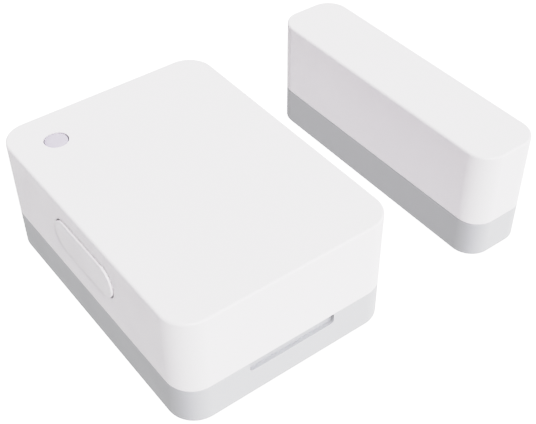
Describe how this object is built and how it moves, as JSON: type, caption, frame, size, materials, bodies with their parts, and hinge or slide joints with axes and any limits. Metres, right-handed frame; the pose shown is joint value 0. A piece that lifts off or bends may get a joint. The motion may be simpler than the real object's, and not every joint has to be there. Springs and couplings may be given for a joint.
{
  "type": "door contact sensor",
  "caption": "Magnetic door contact: a wide sensor unit with a side button and a round light window, and a slim magnet unit beside it, each a white cover on a grey base.",
  "frame": {"origin": "centre of the sensor unit's adhesive face", "axes": "+Z away from the surface that both units stick to; +X across, from the sensor unit to the magnet unit; +Y along both units, away from the pry notch"},
  "size_m": [0.0542, 0.041, 0.0165],
  "materials": {
    "cover_white": "fine moulded texture, satin",
    "base_grey": "fine moulded texture, satin",
    "window_smoke": "translucent, polished",
    "pad_foam": "foam tape with a paper liner",
    "board_green": "solder mask on glass epoxy",
    "holder_black": "moulded",
    "chip_black": "moulded epoxy",
    "shield_rubber": "soft, dull",
    "steel": "plated",
    "contact_metal": "plated spring sheet",
    "cell_metal": "nickel plate",
    "magnet_metal": "nickel plate",
    "reed_glass": "clear, fire-polished",
    "capacitor_tan": "fired ceramic",
    "antenna_ceramic": "fired ceramic",
    "led_white": "clear resin on white"
  },
  "bodies": {
    "base": {"sensor_base": "base_grey", "sensor_adhesive_pad": "pad_foam"},
    "cover": {"sensor_housing": "cover_white", "window_light_pipe": "window_smoke", "light_shield": "shield_rubber", "main_board": "board_green", "switch_body": "holder_black", "switch_frame": "steel", "battery_holder": "holder_black", "battery_positive_contact": "contact_metal", "battery_negative_contact": "contact_metal", "reed_glass": "reed_glass", "reed_fixed_blade": "contact_metal", "reed_lead": "contact_metal", "wireless_chip": "chip_black", "crystal": "steel", "chip_antenna": "antenna_ceramic", "supply_capacitor": "capacitor_tan", "status_led": "led_white", "light_sensor": "chip_black", "ceramic_capacitor_1": "capacitor_tan", "ceramic_capacitor_2": "capacitor_tan", "ceramic_capacitor_3": "capacitor_tan", "ceramic_capacitor_4": "capacitor_tan", "chip_resistor_1": "chip_black", "chip_resistor_2": "chip_black", "chip_resistor_3": "chip_black", "chip_resistor_4": "chip_black", "board_screw_1": "steel", "board_screw_2": "steel", "board_screw_3": "steel"},
    "button": {"side_button": "cover_white"},
    "plunger": {"switch_plunger": "cover_white"},
    "coin_cell": {"battery_can": "cell_metal", "battery_gasket": "holder_black", "battery_cap": "cell_metal"},
    "reed_blade": {"reed_moving_blade": "contact_metal"},
    "magnet_unit": {"magnet_base": "base_grey", "magnet_cover": "cover_white", "magnet_bar": "magnet_metal", "magnet_foam": "pad_foam", "magnet_adhesive_pad": "pad_foam"}
  },
  "joints": [
    {"name": "cover_lift", "type": "slide", "parent": "base", "child": "cover", "axis": [0, 0, 1], "range_m": [0, 0.022]},
    {"name": "cell_drop", "type": "slide", "parent": "cover", "child": "coin_cell", "axis": [0, 0, -1], "range_m": [0, 0.011]},
    {"name": "button_press", "type": "slide", "parent": "cover", "child": "button", "axis": [1, 0, 0], "range_m": [0, 0.0003], "stiffness_N_per_m": 800},
    {"name": "plunger_press", "type": "slide", "parent": "cover", "child": "plunger", "axis": [1, 0, 0], "range_m": [0, 0.0003]},
    {"name": "door_slide", "type": "slide", "parent": "base", "child": "magnet_unit", "axis": [1, 0, 0], "range_m": [-0.012, 0.06]},
    {"name": "reed_flex", "type": "hinge", "parent": "cover", "child": "reed_blade", "pos_m": [0.0096, 0.0059, 0.01096], "axis": [-1, 0, 0], "range_deg": [-0.4, 1.8]}
  ],
  "couplings": [
    {"joint": "cell_drop", "follows": "cover_lift", "ratio": 0.5},
    {"joint": "plunger_press", "follows": "button_press", "ratio": 1},
    {"joint": "reed_flex", "follows": "door_slide", "rad_per_m": 0.5}
  ]
}
